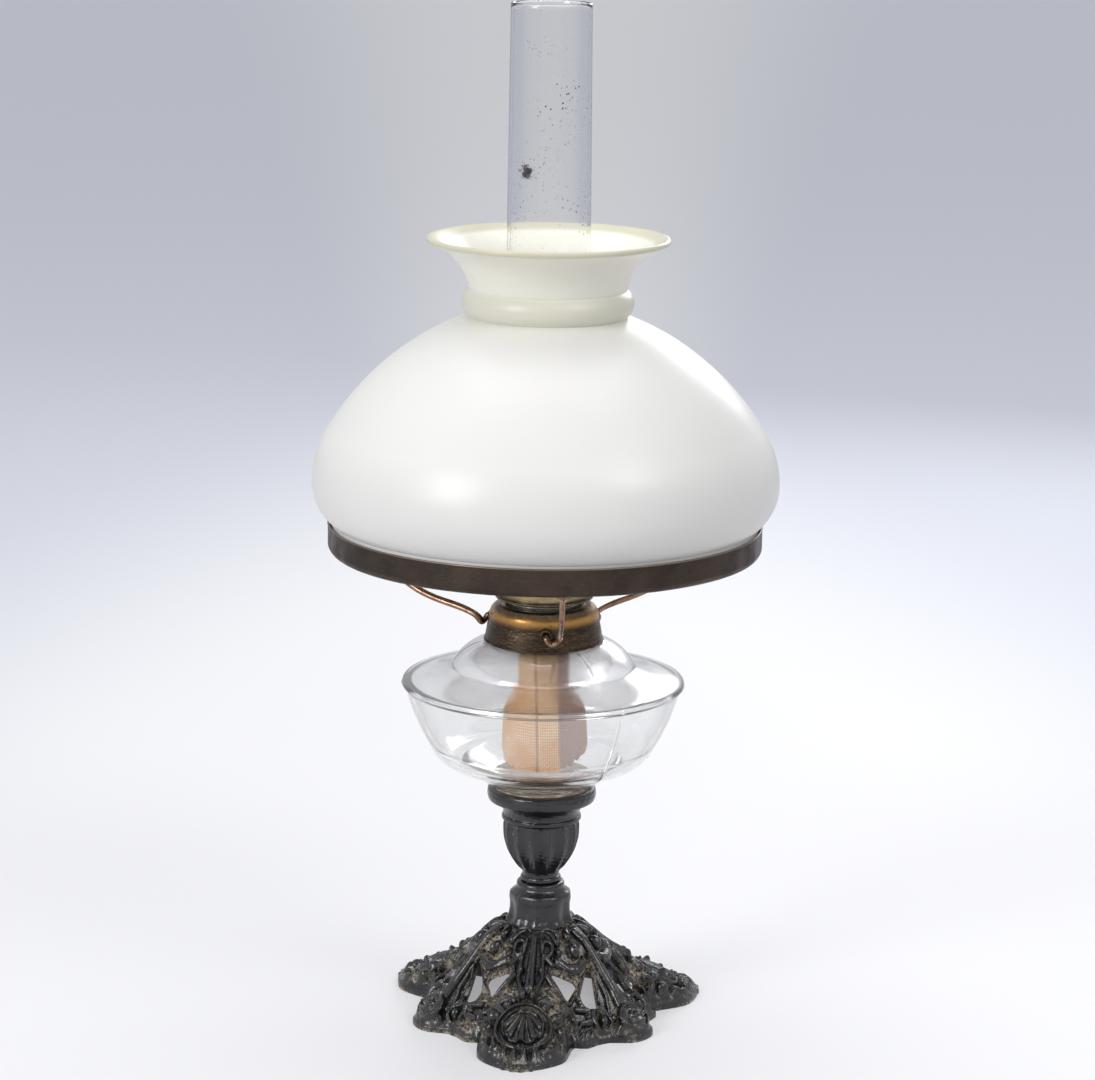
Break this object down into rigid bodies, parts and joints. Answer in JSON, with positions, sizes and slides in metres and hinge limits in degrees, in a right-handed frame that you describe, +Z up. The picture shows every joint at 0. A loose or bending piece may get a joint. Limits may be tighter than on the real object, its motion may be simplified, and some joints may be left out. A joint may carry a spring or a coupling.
{
  "type": "table oil lamp",
  "caption": "Table oil lamp with pierced cast foot, fluted cup, clear glass font, round-wick burner, tall chimney and a domed white glass shade on a three-armed ring.",
  "frame": {"origin": "on the table under the lamp's vertical axis, at the bottom centre of the foot", "axes": "+Z up along the lamp's axis; the viewer stands on the -Y side, with +X to the right"},
  "size_m": [0.2548, 0.2548, 0.562],
  "materials": {
    "black_iron": "worn gloss black paint",
    "steel": "dull",
    "plaster": "matt, stained",
    "clear_glass": "clear pressed glass",
    "brass": "dull, darkened",
    "aged_brass": "brown patina",
    "coppered_wire": "copper brown",
    "bronzed_ring": "dark bronze patina",
    "opal_glass": "glossy opal white glass",
    "wick_cotton": "woven cotton",
    "chimney_glass": "clear blown glass, lightly sooted"
  },
  "bodies": {
    "base": {"cast_foot": "black_iron", "fluted_cup": "black_iron", "cup_bolt": "steel", "bolt_washer": "steel", "bolt_nut": "steel", "plaster_bed": "plaster", "glass_font": "clear_glass", "collar_plaster": "plaster", "font_collar": "brass"},
    "shade_holder": {"shade_hub": "aged_brass", "arm_eyelets": "aged_brass", "shade_arm_front": "coppered_wire", "shade_arm_right": "coppered_wire", "shade_arm_left": "coppered_wire", "shade_ring": "bronzed_ring", "ring_rivets": "bronzed_ring"},
    "shade": {"opal_shade": "opal_glass"},
    "burner": {"burner_ring": "brass", "burner_plate": "brass", "air_basket": "brass", "chimney_gallery": "brass", "chimney_fingers": "brass", "burner_cone": "brass", "outer_wick_tube": "brass", "draught_tube": "brass", "shaft_bushes": "brass"},
    "winder": {"winder_shaft": "steel", "spur_wheels": "brass", "winder_knob": "brass"},
    "wick_strip": {"wick": "wick_cotton"},
    "chimney_glass": {"chimney": "chimney_glass"}
  },
  "joints": [
    {"name": "holder_turn", "type": "hinge", "parent": "base", "child": "shade_holder", "pos_m": [0, 0, 0.236], "axis": [0, 0, 1], "continuous": true},
    {"name": "shade_lift", "type": "slide", "parent": "shade_holder", "child": "shade", "axis": [0, 0, 1], "range_m": [0, 0.3]},
    {"name": "burner_unscrew", "type": "hinge", "parent": "base", "child": "burner", "pos_m": [0, 0, 0.2395], "axis": [0, 0, 1], "range_deg": [0, 1080]},
    {"name": "chimney_lift", "type": "slide", "parent": "burner", "child": "chimney_glass", "axis": [0, 0, 1], "range_m": [0, 0.28]},
    {"name": "winder_turn", "type": "hinge", "parent": "burner", "child": "winder", "pos_m": [0, -0.0175, 0.258], "axis": [1, 0, 0], "range_deg": [-23, 140]},
    {"name": "wick_raise", "type": "slide", "parent": "burner", "child": "wick_strip", "axis": [0, 0, 1], "range_m": [-0.002, 0.012]}
  ],
  "couplings": [
    {"joint": "wick_raise", "follows": "winder_turn", "m_per_rad": 0.0049}
  ]
}
